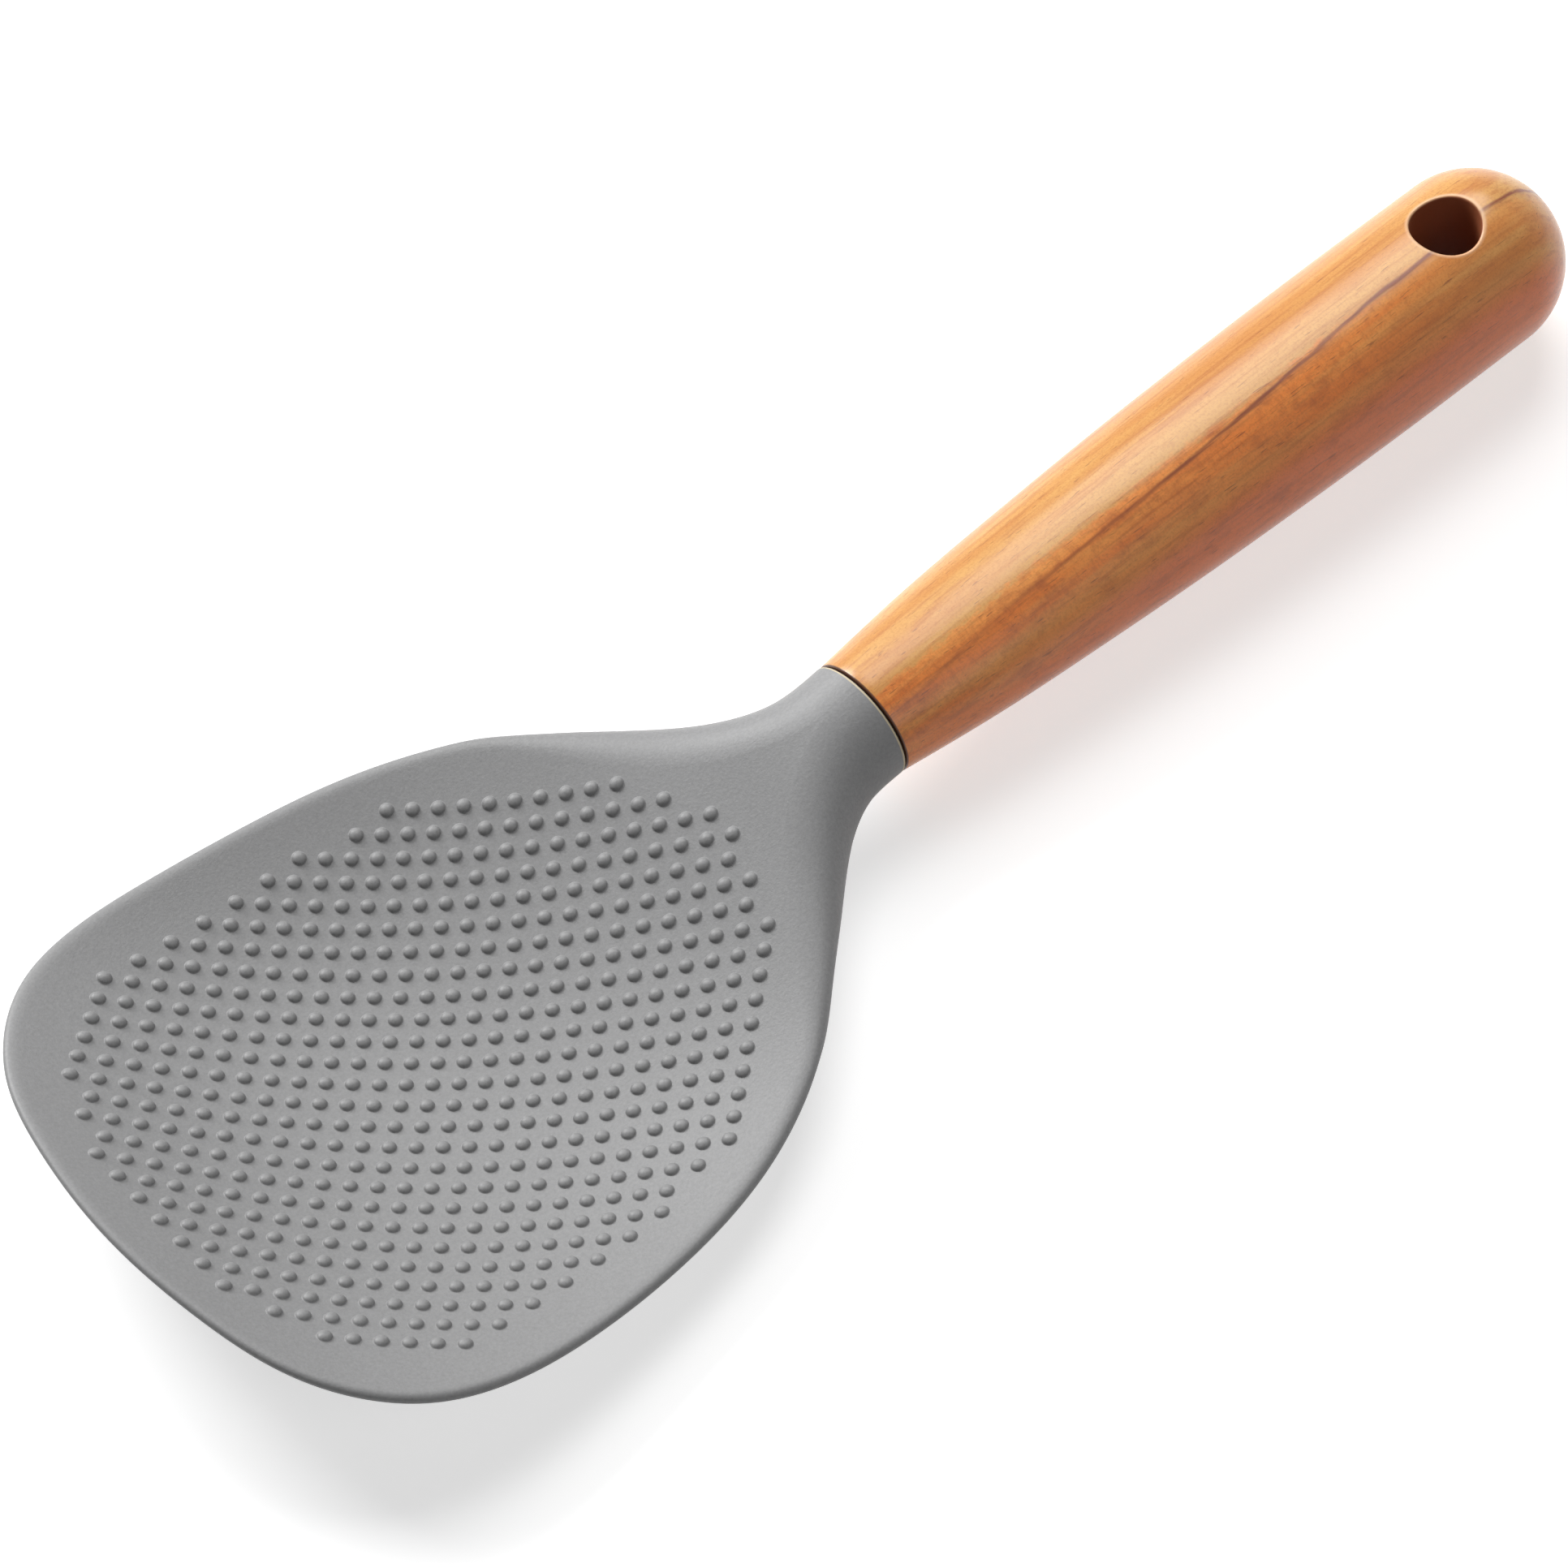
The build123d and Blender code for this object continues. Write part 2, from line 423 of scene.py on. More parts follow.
@dataclass(frozen=True)
class Figure:
    """A noise drawn out along the grain of the wood.

    The scale holds its features in a metre along each axis. Low and high are the part of its range
    that shows, and depth is how far it colours the wood, or by how many metres it moves a line.
    """

    scale: Place
    depth: float
    low: float = 0.0
    high: float = 1.0
    shift: Place = (0.0, 0.0, 0.0)
    detail: float = 3
    rough: float = 0.6

    def noise(self, graph: Graph, place: Wire) -> Wire:
        """The noise, from about 0 to 1."""
        drawn = graph.scaled(place, self.scale, self.shift)
        return graph.noise(drawn, 1.0, self.detail, self.rough)

    def marks(self, noise: Wire) -> Wire:
        """How far the noise colours the wood."""
        return noise.ramp(self.low, self.high) * self.depth

    def drift(self, graph: Graph, place: Wire) -> Wire:
        """How far the noise moves a line."""
        return (self.noise(graph, place) - 0.5) * self.depth


@dataclass(frozen=True)
class WoodFinish:
    """Lacquered hardwood: yellow sapwood, brown heartwood, a dark vein, streaks and pores.

    The sapwood's paler yellow on the far side is partly painted light where the key lamp
    falls, and the near side turns duller as painted shade. A pale ring round the hanging hole
    is a painted highlight; the hole's wall and the front edge by the joint carry painted shade.

    A pair of places is where a feature starts to show and where it shows in full.
    """

    # The sapwood's paler yellow on the far side is partly wood and partly painted light where the
    # key lamp falls.
    sapwood_lit_side: tuple[Colour, Colour] = ((0.76, 0.40, 0.11), (0.66, 0.28, 0.06))
    heartwood: tuple[Colour, Colour] = ((0.97, 0.385, 0.085), (0.95, 0.25, 0.035))
    # Painted shade: the near side's duller, redder colour, away from the key lamp.
    near_shade: Colour = (0.90, 0.21, 0.045)
    dark: Colour = (0.42, 0.09, 0.014)
    vein: Colour = (0.24, 0.05, 0.012)
    # Painted shade of the joint's gap, on the wood's front edge.
    joint_gap_shade: Colour = (0.09, 0.028, 0.010)
    # Darker end grain in the hanging hole, with painted shade of its wall.
    drilled_and_shade: Colour = (0.27, 0.075, 0.025)
    # Painted highlight: the pale ring round the hanging hole's mouth.
    rim_highlight: Colour = (0.95, 0.62, 0.38)
    wander: Figure = Figure((16, 90, 90), 0.006)
    ragged: Figure = Figure((600, 1500, 1500), 0.0026, detail=2, rough=0.5)
    broad: Figure = Figure((9, 260, 200), 1.0, 0.36, 0.64, (0.3, 0, 0))
    streak: Figure = Figure((30, 1500, 1100), 0.42, 0.47, 0.72, rough=0.65)
    blotch: Figure = Figure((190, 520, 520), 0.1, 0.46, 0.7, (0, 0, 0.4), rough=0.7)
    ripple: Figure = Figure((950, 420, 420), 0.34, 0.45, 0.7, (0, 0.1, 0), rough=0.7)
    pore: Figure = Figure((340, 4200, 4200), 0.6, 0.66, 0.76, (0, 0.2, 0), 1, 0.5)
    speck: Figure = Figure((3400, 3400, 3400), 0.26, 0.42, 0.68, detail=2)
    sway: Figure = Figure((22, 60, 60), 0.0045, shift=(0.7, 0, 0), detail=4)
    boundary: float = -0.0025
    boundary_blur: float = 0.0006
    heart_fade: Pair = (0.105, 0.07)
    heart_least: float = 0.35
    heart_blotch: float = 2.8
    # Where the near side's painted shade starts and where it is full, across the handle.
    near_shade_side: Pair = (-0.0085, -0.0118)
    ripple_side: Pair = (-0.0105, -0.0065)
    vein_start: float = -0.0055
    vein_slope: float = 0.033
    vein_edge: Pair = (0.0005, 0.00005)
    vein_depth: float = 0.8
    vein_along: Pair = (0.02, 0.06)
    vein_least: float = 0.4
    vein_gain: float = 0.5
    vein_breaks: Pair = (0.15, 0.55)
    shadow: Pair = (-0.0016, 0.0004)
    shadow_depth: float = 0.35
    rim: Pair = (0.0008, 0.0003)
    # How far the painted highlight round the hole's mouth lightens the wood.
    rim_highlight_depth: float = 0.55
    wall_blur: float = 0.0002
    # Where the painted shade of the joint's gap is full and where it ends, from the front face.
    joint_gap_shade_edge: Pair = (0.0003, 0.0001)
    roughness: float = 0.2
    streak_roughness: float = 0.1
    drilled_roughness: float = 0.4
    specular: float = 0.5
    grain_shares: tuple[float, float, float] = (0.6, 0.2, 0.2)
    grain_height: float = 0.00005
    grain_strength: float = 0.6

    def body(self, graph: Graph, place: Wire, x: Wire, y: Wire) -> tuple[Wire, Wire]:
        """Colour of sapwood and heartwood with their broad figure, and the near side's painted
        shade.

        The sapwood's paler yellow on the far side is partly painted light.

        Args:
            graph: the material's graph.
            place: place on the object.
            x: its first coordinate.
            y: its second coordinate.

        Returns:
            The colour, and the share of heartwood.
        """
        edge = y - self.boundary + self.wander.drift(graph, place)
        edge = edge + self.ragged.drift(graph, place)
        spread = x.ramp(*self.heart_fade) * (1 - self.heart_least) + self.heart_least
        heart = edge.ramp(self.boundary_blur, -self.boundary_blur) * spread
        share = self.broad.marks(self.broad.noise(graph, place))
        # The paler sapwood colour stands partly for painted light on the far side.
        pale = graph.mix(share, *self.sapwood_lit_side)
        brown = graph.mix(share, *self.heartwood)
        colour = graph.mix(heart, pale, brown)
        # Painted shade: the near side turns to the duller colour, away from the key lamp.
        return graph.mix(y.ramp(*self.near_shade_side), colour, self.near_shade), heart

    def vein_marks(self, line: Wire, x: Wire, streak: Wire) -> Wire:
        """How far the long vein and its shadow colour the wood.

        Args:
            line: distance from the vein, less than 0 on its heartwood side.
            x: place along the handle.
            streak: the streaks' noise, which breaks the vein up.

        Returns:
            The share of the vein's colour.
        """
        before, behind = self.shadow
        shadow = line.ramp(before, 0) * line.ramp(behind, 0)
        vein = abs(line).ramp(*self.vein_edge) * self.vein_depth + shadow * self.shadow_depth
        along = x.ramp(*self.vein_along) * self.vein_gain + self.vein_least
        return vein * along * streak.ramp(*self.vein_breaks)

    def material(self, hole: Vector, hole_radius: float, front: float) -> bpy.types.Material:
        """Make the finish as a material.

        Args:
            hole: a point on the hanging hole's axis, in metres.
            hole_radius: radius of its wall, in metres.
            front: place of the front face, whose edge is painted dark as the joint gap's shade, in
                metres.

        Returns:
            The material.
        """
        graph = Graph.surface("wood")
        place = graph.place()
        x, y, _ = graph.axes(place)
        colour, heart = self.body(graph, place, x, y)
        streak = self.streak.noise(graph, place)
        colour = graph.mix(self.streak.marks(streak), colour, self.dark)
        blotch = self.blotch.marks(self.blotch.noise(graph, place))
        colour = graph.mix(blotch * (heart * self.heart_blotch + 1), colour, self.dark)
        ripple = self.ripple.marks(self.ripple.noise(graph, place))
        colour = graph.mix(ripple * heart * y.ramp(*self.ripple_side), colour, self.dark)
        pore = self.pore.noise(graph, place)
        colour = graph.mix(self.pore.marks(pore), colour, self.vein)
        line = y - self.vein_start - x * self.vein_slope + self.sway.drift(graph, place)
        colour = graph.mix(self.vein_marks(line, x, streak), colour, self.vein)
        speck = self.speck.noise(graph, place)
        colour = graph.mix(self.speck.marks(speck), colour, self.dark)
        away = ((x - hole.x) ** 2 + y**2) ** 0.5
        # Painted highlight: a pale ring just outside the hole's mouth.
        rim = away.ramp(*(hole_radius + reach for reach in self.rim)) * self.rim_highlight_depth
        colour = graph.mix(rim, colour, self.rim_highlight)
        # The hole's wall: darker end grain and painted shade.
        inside = away.ramp(hole_radius + self.wall_blur, hole_radius)
        colour = graph.mix(inside, colour, self.drilled_and_shade)
        # Painted shade: the front edge by the joint's gap turns dark.
        edge = x.ramp(*(front + reach for reach in self.joint_gap_shade_edge))
        by_streak, by_pore, by_speck = self.grain_shares
        grain = streak * by_streak + pore * by_pore + speck * by_speck
        rough = streak * self.streak_roughness + inside * self.drilled_roughness
        return graph.finish(
            Base_Color=graph.mix(edge, colour, self.joint_gap_shade),
            Roughness=self.roughness + rough,
            Specular_IOR_Level=self.specular,
            Normal=graph.bump(grain, self.grain_height, self.grain_strength),
        )


@dataclass(frozen=True)
class PlainFinish:
    """A plain finish with a slight mottle, for the pieces that barely show."""

    name: str
    colour: Colour
    roughness: float
    metallic: float = 0.0
    mottle: float = 0.2
    mottle_scale: float = 900
    mottle_detail: float = 3
    mottle_roughness: float = 0.1
    grain_height: float = 0.00003
    grain_strength: float = 0.4

    def material(self) -> bpy.types.Material:
        """Make the finish as a material.

        Returns:
            The material.
        """
        graph = Graph.surface(self.name)
        mottle = graph.noise(graph.place(), self.mottle_scale, self.mottle_detail)
        dark = tuple((1 - self.mottle) * c for c in self.colour)
        return graph.finish(
            Base_Color=graph.mix(mottle, dark, self.colour),
            Roughness=self.roughness + mottle * self.mottle_roughness,
            Metallic=self.metallic,
            Normal=graph.bump(mottle, self.grain_height, self.grain_strength),
        )


# The paddle


@dataclass(frozen=True)
class PaddleSizes:
    """The sizes that the pieces share, as in the solids."""

    front_reach: float = 49.5
    neck_reach: float = 68.1
    neck_length: float = 40.0
    handle_length: float = 119.5
    half_width: float = 43.8
    thickness: float = 2.5
    joint_half_width: float = 8.5
    joint_half_depth: float = 7.5
    lip: float = 0.25
    joint_gap: float = 0.35
    pitch: float = math.radians(0.36)
    butt_radius: float = 12.45
    hole_radius: float = 4.7
    hole_inset: float = 17.6
    bore_radius: float = 3.25
    bore_depth: float = 54.0
    dish_middle: float = 3.0
    dish_unit: float = 50.0
    dish_along: Row = (14.8, -1.8)
    dish_across: Row = (7.9, -0.7, -6.6)
    dish_curl: float = 1.4

    @property
    def dish_x(self) -> float:
        """Place of the dish's reference line along X."""
        return (self.front_reach - self.neck_reach - self.handle_length) / 2

    @property
    def joint_x(self) -> float:
        """Place of the joint along X."""
        return self.dish_x + self.neck_reach

    @property
    def butt_x(self) -> float:
        """Place of the butt's middle behind the joint."""
        return self.handle_length - self.butt_radius

    @property
    def joint_z(self) -> float:
        """Height of the joint's middle."""
        return self.butt_radius - self.butt_x * math.sin(self.pitch)

    @property
    def hole_u(self) -> float:
        """Place of the hanging hole behind the joint."""
        return self.handle_length - self.hole_inset

    def dish(self, x: Array, y: Array) -> Array:
        """Height of the blade's upper face, as a smooth bowl that rises to the rim.

        Args:
            x: places behind the dish's reference line.
            y: places across.

        Returns:
            The heights.
        """
        along = (x - self.dish_middle) / self.dish_unit
        across = (y / self.dish_unit) ** 2
        square, cube = self.dish_along
        level, slope, bend = self.dish_across
        spread = level + slope * along + bend * along**2
        middle = self.thickness + square * along**2 + cube * along**3
        return middle + spread * across + self.dish_curl * across**2

    def on_handle(self, u: Array, y: Array, v: Array) -> Array:
        """Points of the handle in the row frame.

        Args:
            u: places behind the joint, along the handle's axis.
            y: places across.
            v: heights over the axis.

        Returns:
            The points, one row each.
        """
        u, y, v = np.broadcast_arrays(u, y, v)
        c, s = math.cos(self.pitch), math.sin(self.pitch)
        return np.stack([self.joint_x + u * c - v * s, y, self.joint_z + u * s + v * c], axis=-1)


@dataclass
class SiliconeHead:
    """The moulded blade and neck in one skin, and the bumps on it.

    The neck's rows of values stand at even stations, from the end of the dish to the joint, and
    neck_lead tells how far before the first of them two more stations stand.
    """

    sizes: PaddleSizes
    finish: SiliconeFinish = SiliconeFinish()
    front_along: Row = (1.0, 0.966, 0.901, 0.808, 0.667, 0.485, 0.242)
    front_across: Row = (0, 0.365, 0.616, 0.781, 0.913, 0.982, 1.0)
    rear_along: Row = (0.03, 0.22, 0.41)
    rear_across: Row = (0.979, 0.925, 0.808)
    neck_across: Row = (0.637, 0.47, 0.297, 0.128, 0.02, 0)
    neck_lead: Pair = (13.4, 6.7)
    neck_crown: Row = (0, 0, 0, 0.08, 0.2, 0.49, 1)
    neck_keel: Row = (0, 0.075, 0.188, 0.355, 0.57, 0.74, 1)
    neck_rim: Row = (1.82, 1.09, 0.72, 0.48, 0.43, 0.44, 0.5)
    neck_cup: Row = (1, 1, 0.9, 0.6, 0.3, 0.1, 0)
    neck_hull: Row = (1, 0.55, 0.1, 0, 0, 0, 0)
    neck_top_roll: Row = (2.5, 3.9, 8.0, 10.4, 9.8, 8.8, 8.3)
    neck_low_roll: Row = (2.5, 10.8, 19.0, 18.0, 12.6, 9.3, 8.3)
    roll_limit: float = 0.96
    fan_end: float = 30.0
    fan_share: float = 52.0 / 79.5
    fan_blend: Pair = (14.0, 40.0)
    rim_blend: Pair = (26.0, 36.0)
    lean_start: float = 58.0
    rays: int = 240
    roll_steps: int = 8
    sheet_steps: int = 22
    bump_rows: tuple[int, int] = (-17, 18)
    bump_side: int = 17
    bump_limits: tuple[Pair, ...] = ((0.2, 17.5), (1, 23), (3, 55), (-1, 27), (-3, 57))
    bump_along: float = 2.5
    bump_across: float = 2.06
    bump_shift: float = 0.15
    bump_sides: int = 20
    bump_radius: float = 0.92
    bump_height: float = 0.6
    bump_turns: Row = (0, 14, 28, 42, 55, 67, 78)
    bump_foot: tuple[Pair, ...] = ((0.03, 0.03), (0.1, 0.0), (0.22, -0.012))

    def __post_init__(self) -> None:
        """Lay the curves of the neck and the outline."""
        s = self.sizes
        steps = len(self.neck_crown) - 1
        stations = s.neck_reach - s.neck_length * (1 - np.arange(steps + 1) / steps)
        self.knots = np.concatenate([stations[0] - np.array(self.neck_lead), stations])
        self.crown = self.neck_curve(self.neck_crown)
        self.keel = self.neck_curve(self.neck_keel)
        self.rim = self.neck_curve(self.neck_rim)
        self.cup = self.neck_curve(self.neck_cup)
        self.hull = self.neck_curve(self.neck_hull)
        self.top_roll = self.neck_curve(self.neck_top_roll)
        self.low_roll = self.neck_curve(self.neck_low_roll)
        front_x = -s.front_reach * np.array(self.front_along)
        rear_x = s.neck_reach * np.array(self.rear_along)
        blade_y = s.half_width * np.array(self.front_across + self.rear_across)
        span = s.half_width - s.joint_half_width
        neck_y = s.joint_half_width + span * np.array(self.neck_across)
        x = np.concatenate([front_x, rear_x, stations[1:]])
        half = np.stack([x, np.concatenate([blade_y, neck_y])], axis=-1)
        whole = np.concatenate([half[:0:-1] * (1, -1), half])
        lengths = np.linalg.norm(np.diff(whole, axis=0), axis=1)
        places = np.concatenate([[0], np.cumsum(lengths)]) - lengths[: len(half) - 1].sum()
        self.outline = SmoothCurve(places, whole)
        self.half_length = places[-1]

    def neck_curve(self, values: Row) -> SmoothCurve:
        """Curve through values at the neck's stations, level before the first."""
        return SmoothCurve(self.knots, np.array([values[0], values[0], *values]))

    def levels(self, x: Array) -> tuple[Array, Array]:
        """Heights of crown and keel on the middle line.

        Args:
            x: places behind the dish's reference line.

        Returns:
            The heights of crown and keel.
        """
        s = self.sizes
        end = s.dish(s.neck_reach, 0.0)
        level = s.dish(x, 0 * x)
        crown = level + (s.joint_z + s.joint_half_depth - end) * self.crown.at(x)
        drop = end - s.thickness - s.joint_z + s.joint_half_depth
        return crown, level - s.thickness - drop * self.keel.at(x)

    def rise(self, x: Array, y: Array) -> Array:
        """How far the dish stands over its own middle line."""
        return self.sizes.dish(x, y) - self.sizes.dish(x, 0 * x)

    def upper(self, x: Array, y: Array) -> Array:
        """Height of the upper face away from the rim."""
        return self.levels(x)[0] + self.cup.at(x) * self.rise(x, y)

    def lower(self, x: Array, y: Array) -> Array:
        """Height of the lower face away from the rim."""
        return self.levels(x)[1] + self.hull.at(x) * self.rise(x, y)

    def rows(self) -> tuple[Array, Array]:
        """Grids of points of the upper and lower face for one half of the head.

        Returns:
            Two grids, with one row for each ray from the rim to the middle line.
        """
        s = self.sizes
        places = np.linspace(0, self.half_length, self.rays + 1)
        rim = self.outline.at(places)
        x, y = rim[:, 0], np.maximum(rim[:, 1], 0)
        fan = self.fan_end + (x - self.fan_end) * self.fan_share
        inner_x = np.where(x > self.fan_end, x, fan)
        inner_x = inner_x + (x - inner_x) * ease(x, *self.fan_blend)
        reach = np.hypot(x - inner_x, y)
        crown, keel = self.levels(x)
        rim_z = s.dish(x, y) - s.thickness / 2
        neck_z = keel + (crown - keel) * self.rim.at(x)
        rim_z = rim_z + (neck_z - rim_z) * ease(x, *self.rim_blend)
        grids = []
        for roll, face in ((self.top_roll, self.upper), (self.low_roll, self.lower)):
            width = np.minimum(roll.at(x), self.roll_limit * reach)
            turn = np.linspace(0, math.pi / 2, self.roll_steps + 1)
            inside = width[:, None] * (1 - np.cos(turn))
            rest = np.linspace(0, 1, self.sheet_steps + 1)[1:]
            flat = width[:, None] + (reach - width)[:, None] * rest
            distance = np.concatenate([inside, flat], axis=1)
            share = np.concatenate([np.sin(turn), np.ones(self.sheet_steps)])
            t = distance / reach[:, None]
            gx = x[:, None] + (inner_x - x)[:, None] * t
            gy = y[:, None] * (1 - t)
            height = face(gx.ravel(), gy.ravel()).reshape(gx.shape)
            gz = rim_z[:, None] + (height - rim_z[:, None]) * share
            lean = ease(gx, self.lean_start, s.neck_reach)
            gx = gx - lean * (s.lip + (gz - s.joint_z) * math.tan(s.pitch))
            grids.append(np.stack([gx + s.dish_x, gy, gz], axis=-1))
        return grids[0], grids[1]

    def skin(self) -> bpy.types.Object:
        """Make the blade and neck as one closed skin.

        Returns:
            The skin, without a material.
        """
        maker = MeshMaker()
        upper, lower = self.rows()
        for side in (1, -1):
            flipped = side < 0
            maker.grid(upper * (1, side, 1), flip=flipped)
            maker.grid(lower * (1, side, 1), flip=not flipped)
        mirrored = [face[-1] * (1, -1, 1) for face in (upper, lower)]
        end = np.concatenate([upper[-1], mirrored[0][::-1], mirrored[1], lower[-1][::-1]])
        first = maker.add(end)
        maker.faces.append(tuple(range(first, first + len(end))))
        return maker.build("silicone_skin")

    def bump_places(self) -> Array:
        """Lay the staggered rows of bumps within the limits of their field.

        Returns:
            Places behind the reference line and across, one row each.
        """
        first, last = self.bump_rows
        found = [
            (m * self.bump_along, n * self.bump_across)
            for m in range(first, last + 1)
            for n in range(-self.bump_side, self.bump_side + 1)
            if (m + n) % 2 and all(abs(n) + slope * m <= most for slope, most in self.bump_limits)
        ]
        return np.array(found)

    def bumps(self) -> bpy.types.Object:
        """Make the soft domes, each with a foot that ends just under the blade's face.

        Returns:
            The bumps in one object, without a material.
        """
        radius, height = self.bump_radius, self.bump_height
        turn = np.radians(self.bump_turns)
        profile = [(radius * math.sin(a), height * math.cos(a)) for a in turn]
        profile += [(radius + reach, lift) for reach, lift in self.bump_foot]
        angles = np.linspace(0, 2 * math.pi, self.bump_sides, endpoint=False)
        radii = np.array([r for r, _ in profile])[:, None]
        lifts = np.array([h for _, h in profile])[:, None]
        maker = MeshMaker()
        small = 0.01
        for bx, by in self.bump_places():
            x = (bx + self.bump_shift + radii * np.cos(angles)).ravel()
            y = (by + radii * np.sin(angles)).ravel()
            z = self.upper(x, y)
            slope_x = (self.upper(x + small, y) - z) / small
            slope_y = (self.upper(x, y + small) - z) / small
            normal = np.stack([-slope_x, -slope_y, np.ones_like(x)], axis=-1)
            normal /= np.linalg.norm(normal, axis=1)[:, None]
            base = np.stack([x + self.sizes.dish_x, y, z], axis=-1)
            lift = np.broadcast_to(lifts, (len(lifts), len(angles))).ravel()
            points = base + normal * lift[:, None]
            maker.grid(points.reshape(len(lifts), len(angles), 3), closed=True, flip=True)
        return maker.build("silicone_bumps")

    def build(self) -> None:
        """Make and dress the skin and the bumps, in place of the solid head."""
        material = self.finish.material()
        for piece in (self.skin(), self.bumps()):
            piece.data.materials.append(material)
            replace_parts(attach(piece, "root"), "silicone_head")
            LOG.info("%s: %d faces", piece.name, len(piece.data.polygons))


@dataclass
class WoodHandle:
    """The turned handle, with its bore, hanging hole and rounded edges.

    The shares give its half width and half depth at even steps from the joint to the round butt.
    """

    sizes: PaddleSizes
    finish: WoodFinish = WoodFinish()
    wide_shares: Row = (0.814, 0.889, 0.946, 0.983, 1.006, 1.01, 1.0)
    deep_shares: Row = (0.702, 0.79, 0.862, 0.911, 0.945, 0.975, 1.0)
    arris: float = 0.3
    hole_round: float = 0.35
    columns: int = 96
    body_rows: int = 92
    near_rows: int = 12
    ball_rows: int = 24
    round_rows: int = 5
    wall_rows: int = 11
    window: int = 10
    window_reach: float = 7.6
    window_rows: int = 3
    rings: int = 7
    crowding: float = 0.6

    def __post_init__(self) -> None:
        """Lay the curves of width and depth."""
        s = self.sizes
        count = len(self.wide_shares)
        stations = np.concatenate([[s.joint_gap], s.butt_x * np.arange(1, count + 1) / count])
        wide = s.butt_radius * np.array(self.wide_shares)
        deep = s.butt_radius * np.array(self.deep_shares)
        self.width = SmoothCurve(stations, np.array([s.joint_half_width, *wide]), True)
        self.depth = SmoothCurve(stations, np.array([s.joint_half_depth, *deep]), True)

    def half_axes(self, u: Array) -> tuple[Array, Array]:
        """Half width and half depth of the oval section.

        Args:
            u: places behind the joint.

        Returns:
            The half widths and the half depths.
        """
        s = self.sizes
        u = np.atleast_1d(u)
        ball = np.sqrt(np.maximum(s.butt_radius**2 - np.maximum(u - s.butt_x, 0) ** 2, 0))
        beyond = u > s.butt_x
        return np.where(beyond, ball, self.width.at(u)), np.where(beyond, ball, self.depth.at(u))

    def surface(self, u: Array, y: Array) -> Array:
        """Height of the handle's surface over its axis.

        Args:
            u: places behind the joint.
            y: places across, in an array of the same shape.

        Returns:
            The heights, in that shape.
        """
        wide, deep = self.half_axes(u.ravel())
        share = 1 - (y.ravel() / np.maximum(wide, TINY)) ** 2
        return (deep * np.sqrt(np.maximum(share, 0))).reshape(u.shape)

    def mesh(self) -> bpy.types.Object:
        """Make the handle as one closed mesh.

        Returns:
            The handle, without a material.
        """
        s = self.sizes
        start = s.joint_gap + self.arris
        before = s.hole_u - self.window_reach
        body = np.linspace(start, before, self.body_rows)
        near = np.linspace(before, s.butt_x, self.near_rows + 1)[1:]
        dome = np.linspace(0, math.pi / 2, self.ball_rows + 1)[1:]
        rows_u = np.concatenate([body, near, s.butt_x + s.butt_radius * np.sin(dome)])
        wide, deep = self.half_axes(rows_u)
        wide[-1] = deep[-1] = 0
        angles = 2 * math.pi * np.arange(self.columns) / self.columns
        turn = np.linspace(0, math.pi / 2, self.round_rows + 1)[:-1]
        front_u = start - self.arris * np.cos(turn)
        inset = self.arris * (1 - np.sin(turn))
        first_wide, first_deep = self.half_axes(front_u)
        u_all = np.concatenate([front_u, rows_u])[:, None]
        w_all = np.concatenate([first_wide - inset, wide])[:, None]
        d_all = np.concatenate([first_deep - inset, deep])[:, None]
        points = s.on_handle(u_all, w_all * np.sin(angles), d_all * np.cos(angles))
        first_row = len(front_u) + len(body) - 1
        last_row = first_row + len(near) + self.window_rows
        maker = MeshMaker()
        first = maker.add(points)
        rows, columns = points.shape[:2]
        half = columns // 2
        for r in range(rows - 1):
            for c in range(columns):
                near_top = c < self.window or c >= columns - self.window
                near_low = half - self.window <= c < half + self.window
                if first_row <= r < last_row and (near_top or near_low):
                    continue
                d = (c + 1) % columns
                a, b = first + r * columns, first + (r + 1) * columns
                maker.faces.append((b + c, b + d, a + d, a + c))
        self.hole(maker, u_all[:, 0], w_all[:, 0], angles, first_row, last_row)
        self.bore(maker, points[0], angles)
        return maker.build("wood_handle_turned")

    def hole(
        self, maker: MeshMaker, rows_u: Array, wide: Array, angles: Array, first: int, last: int
    ) -> None:
        """Add the patches round the hanging hole's mouths, their rounded edges and its wall.

        Args:
            maker: the mesh to add to.
            rows_u: places of the handle's rows.
            wide: half widths of the rows.
            angles: angles of the columns.
            first: first row of the window.
            last: last row of the window.
        """
        s = self.sizes
        window = range(-self.window, self.window + 1)
        edge = [(r, self.window) for r in range(first, last)]
        edge += [(last, c) for c in reversed(window)][:-1]
        edge += [(r, -self.window) for r in range(last, first, -1)]
        edge += [(first, c) for c in window][:-1]
        u = np.array([rows_u[r] for r, _ in edge])
        y = np.array([wide[r] * math.sin(angles[c]) for r, c in edge])
        around = np.arctan2(y, u - s.hole_u)
        mouth = s.hole_radius + self.hole_round
        ring_u, ring_y = s.hole_u + mouth * np.cos(around), mouth * np.sin(around)
        t = np.linspace(0, 1, self.rings + 1)[:, None]
        t = t * (1 + self.crowding * (1 - t))
        patch_u, patch_y = u + (ring_u - u) * t, y + (ring_y - y) * t
        turn = np.linspace(0, math.pi / 2, self.round_rows + 1)[1:, None]
        radius = s.hole_radius + self.hole_round * (1 - np.sin(turn))
        lip_u, lip_y = s.hole_u + radius * np.cos(around), radius * np.sin(around)
        mouth_v = self.surface(ring_u, ring_y)
        lip_v = mouth_v - self.hole_round * (1 - np.cos(turn))
        rows = np.concatenate([patch_u, lip_u])
        across = np.concatenate([patch_y, lip_y])
        height = np.concatenate([self.surface(patch_u, patch_y), lip_v])
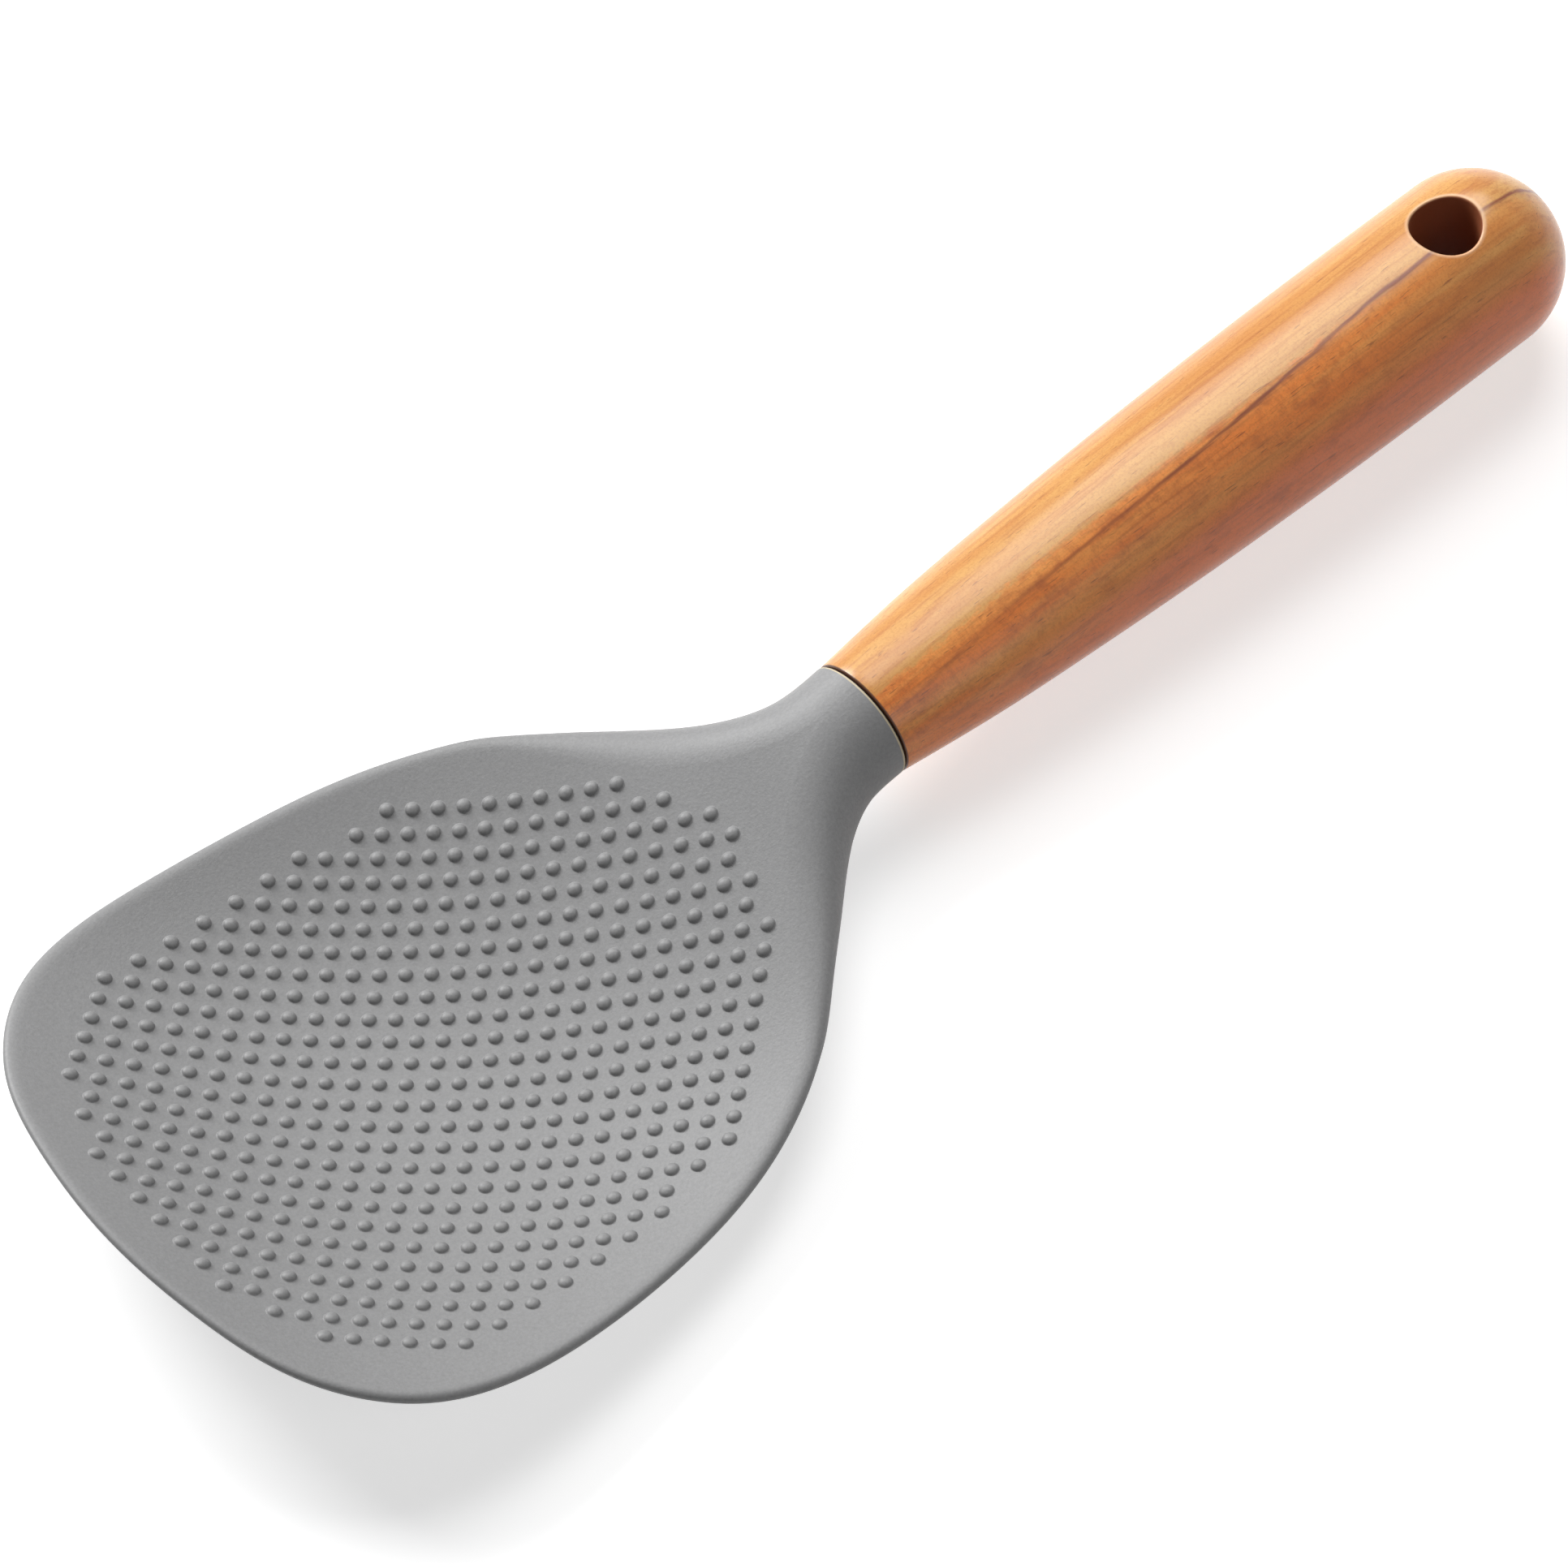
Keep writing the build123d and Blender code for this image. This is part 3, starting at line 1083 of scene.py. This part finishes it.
        wall = np.linspace(1, -1, self.wall_rows + 2)[1:-1, None]
        top = s.on_handle(rows, across, height)
        low = s.on_handle(rows, across, -height)[::-1]
        middle = s.on_handle(rows[-1] + 0 * wall, across[-1] + 0 * wall, height[-1] * wall)
        maker.grid(np.concatenate([top, middle, low]), closed=True, flip=True)

    def bore(self, maker: MeshMaker, front: Array, angles: Array) -> None:
        """Add the front face and the blind bore behind it.

        Args:
            maker: the mesh to add to.
            front: the front ring of the handle's outside.
            angles: angles of the columns.
        """
        s = self.sizes
        y, v = s.bore_radius * np.sin(angles), s.bore_radius * np.cos(angles)
        mouth = s.on_handle(s.joint_gap, y, v)
        floor = s.on_handle(s.bore_depth, y, v)
        middle = s.on_handle(s.bore_depth + 0 * y, 0 * y, 0 * v)
        maker.grid(np.stack([front, mouth, floor, middle]), closed=True)

    def build(self) -> None:
        """Make and dress the handle, in place of the solid one."""
        s = self.sizes
        piece = self.mesh()
        hole = Vector(s.on_handle(s.hole_u, 0.0, 0.0)) * MM
        front = (s.joint_x + s.joint_gap) * MM
        piece.data.materials.append(self.finish.material(hole, s.hole_radius * MM, front))
        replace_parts(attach(piece, "root"), "wood_handle")
        LOG.info("%s: %d faces", piece.name, len(piece.data.polygons))


class Inner(Enum):
    """The solids that stay as they are, each with its finish."""

    CORE = ("blade_core", PlainFinish("nylon", (0.66, 0.56, 0.38), 0.5))
    # The near-black glue is partly its own colour and partly painted shade of the joint's gap.
    GLUE = ("glue_sleeve", PlainFinish("glue", (0.016, 0.009, 0.006), 0.6))
    TANG = ("tang", PlainFinish("steel", (0.55, 0.55, 0.56), 0.3, 1.0))


@dataclass
class InnerPieces:
    """The core, the glue and the tang, of which a rim and a line show at the joint."""

    nodes: dict[str, bpy.types.Object]

    def build(self) -> None:
        """Dress the solids."""
        for piece in Inner:
            node, finish = piece.value
            material = finish.material()
            for slot in self.nodes[node].material_slots:
                slot.material = material
            LOG.info("%s: solid", node)


@dataclass(frozen=True)
class Lamp:
    """A square lamp that looks at the paddle."""

    name: str
    place: Place
    size: float
    watts: float

    def hang(self) -> None:
        """Put the lamp in the scene."""
        data = bpy.data.lights.new(self.name, "AREA")
        data.size, data.energy = self.size, self.watts
        lamp = bpy.data.objects.new(self.name, data)
        lamp.location = self.place
        lamp.rotation_mode = "QUATERNION"
        lamp.rotation_quaternion = (-Vector(self.place)).to_track_quat("-Z", "Y")
        bpy.context.scene.collection.objects.link(lamp)


@dataclass
class Studio:
    """White floor, soft lamps and the camera."""

    camera_place: Place = (-0.273908, -0.346409, 0.627597)
    right: Place = (0.75258, -0.65651, -0.05118)
    down: Place = (-0.56085, -0.59831, -0.57225)
    forward: Place = (0.34507, 0.45936, -0.81848)
    lens: float = 138.9
    sensor: float = 36.0
    clip: Pair = (0.05, 20.0)
    white: Colour = (1.0, 1.0, 1.0)
    floor_size: float = 6.0
    floor_colour: Colour = (0.8, 0.8, 0.8)
    floor_glow: float = 0.6
    world_strength: float = 0.04
    lamps: tuple[Lamp, ...] = (
        Lamp("key", (-0.08, 0.945, 0.62), 0.5, 11.9),
        Lamp("box", (0.48, 0.48, 0.90), 0.7, 7.2),
        Lamp("near", (0.0, -0.85, 0.75), 0.6, 1.4),
    )

    def camera(self) -> None:
        """Place the camera as the photograph was taken."""
        data = bpy.data.cameras.new("camera")
        data.lens, data.sensor_width = self.lens, self.sensor
        data.clip_start, data.clip_end = self.clip
        camera = bpy.data.objects.new("camera", data)
        turn = Matrix((self.right, -Vector(self.down), -Vector(self.forward))).transposed()
        camera.matrix_world = Matrix.Translation(self.camera_place) @ turn.to_4x4()
        bpy.context.scene.collection.objects.link(camera)
        bpy.context.scene.camera = camera

    def floor(self) -> None:
        """Lay the white floor, which keeps the paddle's shadow."""
        half = self.floor_size / 2
        corners = [(-half, -half, 0), (half, -half, 0), (half, half, 0), (-half, half, 0)]
        mesh = bpy.data.meshes.new("floor")
        mesh.from_pydata(corners, [], [(0, 1, 2, 3)])
        floor = bpy.data.objects.new("floor", mesh)
        bpy.context.scene.collection.objects.link(floor)
        graph = Graph.surface("floor")
        diffuse = graph.node("ShaderNodeBsdfDiffuse", None, {"Color": self.floor_colour})
        sockets = {"Color": self.white, "Strength": self.floor_glow}
        glow = graph.node("ShaderNodeEmission", None, sockets)
        both = graph.node("ShaderNodeAddShader", None, {0: diffuse, 1: glow})
        mixed = graph.node("ShaderNodeMixShader", None, {0: graph.seen(), 1: diffuse, 2: both})
        floor.data.materials.append(graph.close(mixed))

    def world(self) -> None:
        """Surround the scene with plain white light, which the camera sees as white."""
        graph = Graph(bpy.data.worlds.new("studio"))
        sockets = {0: self.white, 1: self.world_strength}
        light = graph.node("ShaderNodeBackground", None, sockets)
        plain = graph.node("ShaderNodeBackground", None, {0: self.white, 1: 1.0})
        mixed = graph.node("ShaderNodeMixShader", None, {0: graph.seen(), 1: light, 2: plain})
        bpy.context.scene.world = graph.close(mixed)

    def build(self) -> None:
        """Set up the studio."""
        self.camera()
        self.floor()
        self.world()
        for lamp in self.lamps:
            lamp.hang()
        bpy.context.scene.view_settings.view_transform = "Standard"


def main() -> None:
    """Build the paddle and the studio."""
    logging.basicConfig(level=logging.INFO, format="%(name)s %(message)s")
    sizes = PaddleSizes()
    SiliconeHead(sizes).build()
    WoodHandle(sizes).build()
    InnerPieces(frame["nodes"]).build()
    Studio().build()
    bpy.context.view_layer.update()


if __name__ == "__main__":
    main()
